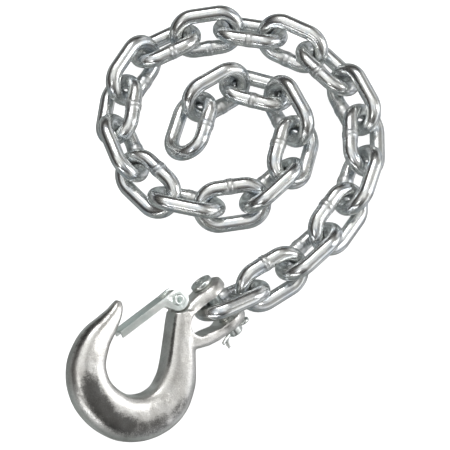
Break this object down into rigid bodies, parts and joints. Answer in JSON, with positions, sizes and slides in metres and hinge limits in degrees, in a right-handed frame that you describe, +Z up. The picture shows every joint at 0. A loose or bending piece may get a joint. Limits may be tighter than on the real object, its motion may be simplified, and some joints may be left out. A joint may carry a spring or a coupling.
{
  "type": "safety chain hook",
  "caption": "Steel towing safety chain, welded links coiled flat, ending in a forged clevis slip hook with a sprung latch.",
  "frame": {"origin": "on the ground plane, under the middle of the object's bounding box", "axes": "+Z up; +Y from the hook's end of the layout towards the far side of the coil; +X to the right, so that the hook points left and back from the pin"},
  "size_m": [0.1992, 0.2952, 0.0558],
  "materials": {
    "chain_zinc": "bright zinc plating, polished, with dark reflections and faint blue tints",
    "forged_zinc": "satin zinc plating over a forged, finely pitted skin",
    "pin_zinc": "dull zinc plating",
    "latch_zinc": "satin zinc plated sheet, faintly green grey",
    "spring_steel": "dark spring wire"
  },
  "bodies": {
    "hook": {"hook_body": "forged_zinc", "latch_rivet": "latch_zinc"},
    "pin": {"clevis_pin": "pin_zinc", "cotter_pin": "pin_zinc"},
    "latch": {"latch_plate": "latch_zinc", "latch_spring": "spring_steel"},
    "link_01": {"chain_link_01": "chain_zinc"},
    "link_02": {"chain_link_02": "chain_zinc"},
    "link_03": {"chain_link_03": "chain_zinc"},
    "link_04": {"chain_link_04": "chain_zinc"},
    "link_05": {"chain_link_05": "chain_zinc"},
    "link_06": {"chain_link_06": "chain_zinc"},
    "link_07": {"chain_link_07": "chain_zinc"},
    "link_08": {"chain_link_08": "chain_zinc"},
    "link_09": {"chain_link_09": "chain_zinc"},
    "link_10": {"chain_link_10": "chain_zinc"},
    "link_11": {"chain_link_11": "chain_zinc"},
    "link_12": {"chain_link_12": "chain_zinc"},
    "link_13": {"chain_link_13": "chain_zinc"},
    "link_14": {"chain_link_14": "chain_zinc"},
    "link_15": {"chain_link_15": "chain_zinc"},
    "link_16": {"chain_link_16": "chain_zinc"},
    "link_17": {"chain_link_17": "chain_zinc"},
    "link_18": {"chain_link_18": "chain_zinc"},
    "link_19": {"chain_link_19": "chain_zinc"},
    "link_20": {"chain_link_20": "chain_zinc"},
    "link_21": {"chain_link_21": "chain_zinc"},
    "link_22": {"chain_link_22": "chain_zinc"},
    "link_23": {"chain_link_23": "chain_zinc"},
    "link_24": {"chain_link_24": "chain_zinc"}
  },
  "joints": [
    {"name": "pin_turn", "type": "hinge", "parent": "hook", "child": "pin", "pos_m": [-0.01006, -0.06292, 0.0189], "axis": [-0.5528, 0.6333, 0.5417], "continuous": true},
    {"name": "latch_open", "type": "hinge", "parent": "hook", "child": "latch", "pos_m": [-0.03615, -0.06292, 0.03289], "axis": [0.4471, -0.3231, 0.8341], "range_deg": [0, 24], "stiffness_Nm_per_rad": 0.04, "springref_deg": -34.38},
    {"name": "chain_lift", "type": "hinge", "parent": "hook", "child": "link_01", "pos_m": [-0.01006, -0.06292, 0.0189], "axis": [0.5528, -0.6333, -0.5417], "range_deg": [0, 70]},
    {"name": "link_02_swing", "type": "hinge", "parent": "link_01", "child": "link_02", "pos_m": [0.01154, -0.05137, 0.0135], "axis": [0, 0, 1], "range_deg": [-10, 4]},
    {"name": "link_03_swing", "type": "hinge", "parent": "link_02", "child": "link_03", "pos_m": [0.03644, -0.0353, 0.0135], "axis": [0, 0, 1], "range_deg": [-22, 4]},
    {"name": "link_04_swing", "type": "hinge", "parent": "link_03", "child": "link_04", "pos_m": [0.058, -0.01486, 0.0135], "axis": [0, 0, 1], "range_deg": [-22, 4]},
    {"name": "link_05_swing", "type": "hinge", "parent": "link_04", "child": "link_05", "pos_m": [0.07505, 0.00951, 0.0135], "axis": [0, 0, 1], "range_deg": [-24, 0]},
    {"name": "link_06_swing", "type": "hinge", "parent": "link_05", "child": "link_06", "pos_m": [0.0846, 0.03764, 0.0135], "axis": [0, 0, 1], "range_deg": [-20, 0]},
    {"name": "link_07_swing", "type": "hinge", "parent": "link_06", "child": "link_07", "pos_m": [0.08529, 0.06734, 0.0135], "axis": [0, 0, 1], "range_deg": [-25, 0]},
    {"name": "link_08_swing", "type": "hinge", "parent": "link_07", "child": "link_08", "pos_m": [0.07287, 0.09429, 0.0135], "axis": [0, 0, 1], "range_deg": [-20, 0]},
    {"name": "link_09_swing", "type": "hinge", "parent": "link_08", "child": "link_09", "pos_m": [0.0526, 0.11592, 0.0135], "axis": [0, 0, 1], "range_deg": [-24, 0]},
    {"name": "link_10_swing", "type": "hinge", "parent": "link_09", "child": "link_10", "pos_m": [0.0261, 0.12933, 0.0135], "axis": [0, 0, 1], "range_deg": [-22, 0]},
    {"name": "link_11_swing", "type": "hinge", "parent": "link_10", "child": "link_11", "pos_m": [-0.00319, 0.13413, 0.0135], "axis": [0, 0, 1], "range_deg": [-24, 0]},
    {"name": "link_12_swing", "type": "hinge", "parent": "link_11", "child": "link_12", "pos_m": [-0.03242, 0.12911, 0.0135], "axis": [0, 0, 1], "range_deg": [-17, 0]},
    {"name": "link_13_swing", "type": "hinge", "parent": "link_12", "child": "link_13", "pos_m": [-0.05859, 0.11516, 0.0135], "axis": [0, 0, 1], "range_deg": [-26, 0]},
    {"name": "link_14_swing", "type": "hinge", "parent": "link_13", "child": "link_14", "pos_m": [-0.07347, 0.08949, 0.0135], "axis": [0, 0, 1], "range_deg": [-17, 0]},
    {"name": "link_15_swing", "type": "hinge", "parent": "link_14", "child": "link_15", "pos_m": [-0.07691, 0.05998, 0.0135], "axis": [0, 0, 1], "range_deg": [-24, 0]},
    {"name": "link_16_swing", "type": "hinge", "parent": "link_15", "child": "link_16", "pos_m": [-0.06559, 0.03248, 0.0135], "axis": [0, 0, 1], "range_deg": [-15, 0]},
    {"name": "link_17_swing", "type": "hinge", "parent": "link_16", "child": "link_17", "pos_m": [-0.04476, 0.01131, 0.0135], "axis": [0, 0, 1], "range_deg": [-17, 0]},
    {"name": "link_18_swing", "type": "hinge", "parent": "link_17", "child": "link_18", "pos_m": [-0.0158, 0.00488, 0.0135], "axis": [0, 0, 1], "range_deg": [-13, 0]},
    {"name": "link_19_swing", "type": "hinge", "parent": "link_18", "child": "link_19", "pos_m": [0.01351, 0.00937, 0.0135], "axis": [0, 0, 1], "range_deg": [-16, 0]},
    {"name": "link_20_swing", "type": "hinge", "parent": "link_19", "child": "link_20", "pos_m": [0.0347, 0.03009, 0.0135], "axis": [0, 0, 1], "range_deg": [-11, 0]},
    {"name": "link_21_swing", "type": "hinge", "parent": "link_20", "child": "link_21", "pos_m": [0.04251, 0.05869, 0.0135], "axis": [0, 0, 1], "range_deg": [-15, 0]},
    {"name": "link_22_swing", "type": "hinge", "parent": "link_21", "child": "link_22", "pos_m": [0.02952, 0.08531, 0.0135], "axis": [0, 0, 1], "range_deg": [-4, 0]},
    {"name": "link_23_swing", "type": "hinge", "parent": "link_22", "child": "link_23", "pos_m": [0.00108, 0.09357, 0.0135], "axis": [0, 0, 1], "range_deg": [-5, 0]},
    {"name": "link_24_swing", "type": "hinge", "parent": "link_23", "child": "link_24", "pos_m": [-0.02388, 0.07764, 0.0135], "axis": [0, 0, 1], "range_deg": [-15, 0]}
  ]
}
